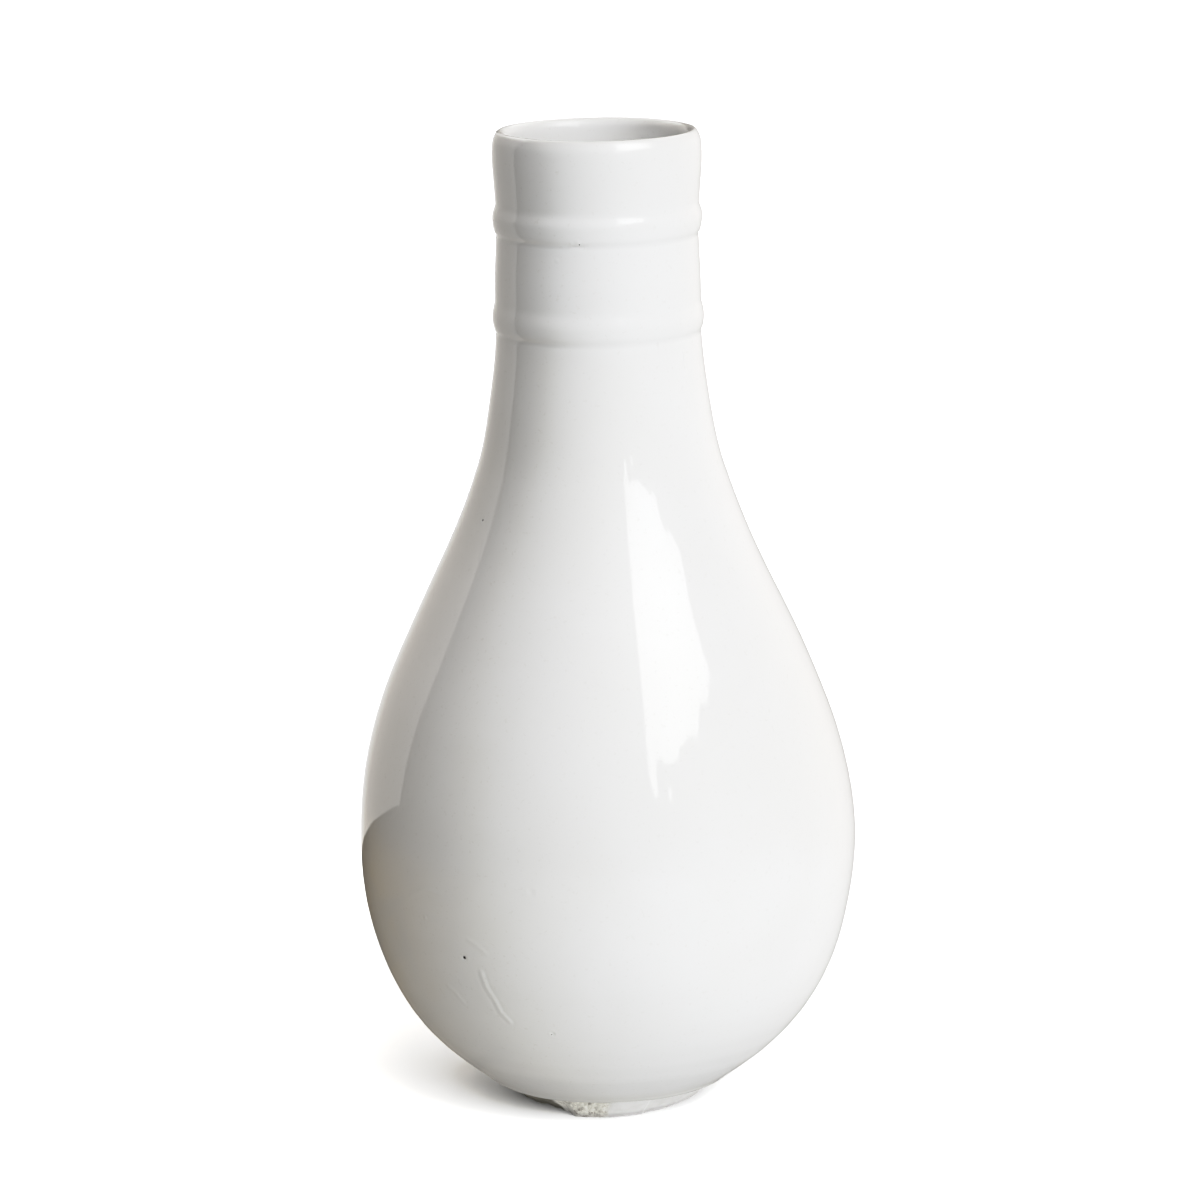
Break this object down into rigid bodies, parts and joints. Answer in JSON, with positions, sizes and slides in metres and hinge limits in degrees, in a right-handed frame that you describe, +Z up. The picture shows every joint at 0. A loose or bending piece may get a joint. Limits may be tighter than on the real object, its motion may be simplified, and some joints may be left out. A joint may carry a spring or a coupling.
{
  "type": "bud vase",
  "caption": "Bottle-shaped thrown ceramic bud vase: full round belly, long slim neck with two faint raised bands, rounded lip, glossy white glaze and a bare foot ring.",
  "frame": {"origin": "centre of the foot ring's resting face, at the bottom of the whole vase", "axes": "+Z up along the vase's axis of rotation, from the foot to the mouth; X and Y are free, the vase being round"},
  "size_m": [0.0918, 0.0918, 0.18],
  "materials": {
    "clay_body": "fired, unglazed",
    "bare_foot": "bare, matte, slightly gritty",
    "white_glaze": "glossy, clear to white"
  },
  "bodies": {
    "root": {"clay_belly": "clay_body", "clay_neck": "clay_body", "neck_band_lower": "clay_body", "neck_band_upper": "clay_body", "foot_ring": "bare_foot", "outer_glaze": "white_glaze", "inner_glaze": "white_glaze"}
  },
  "joints": []
}
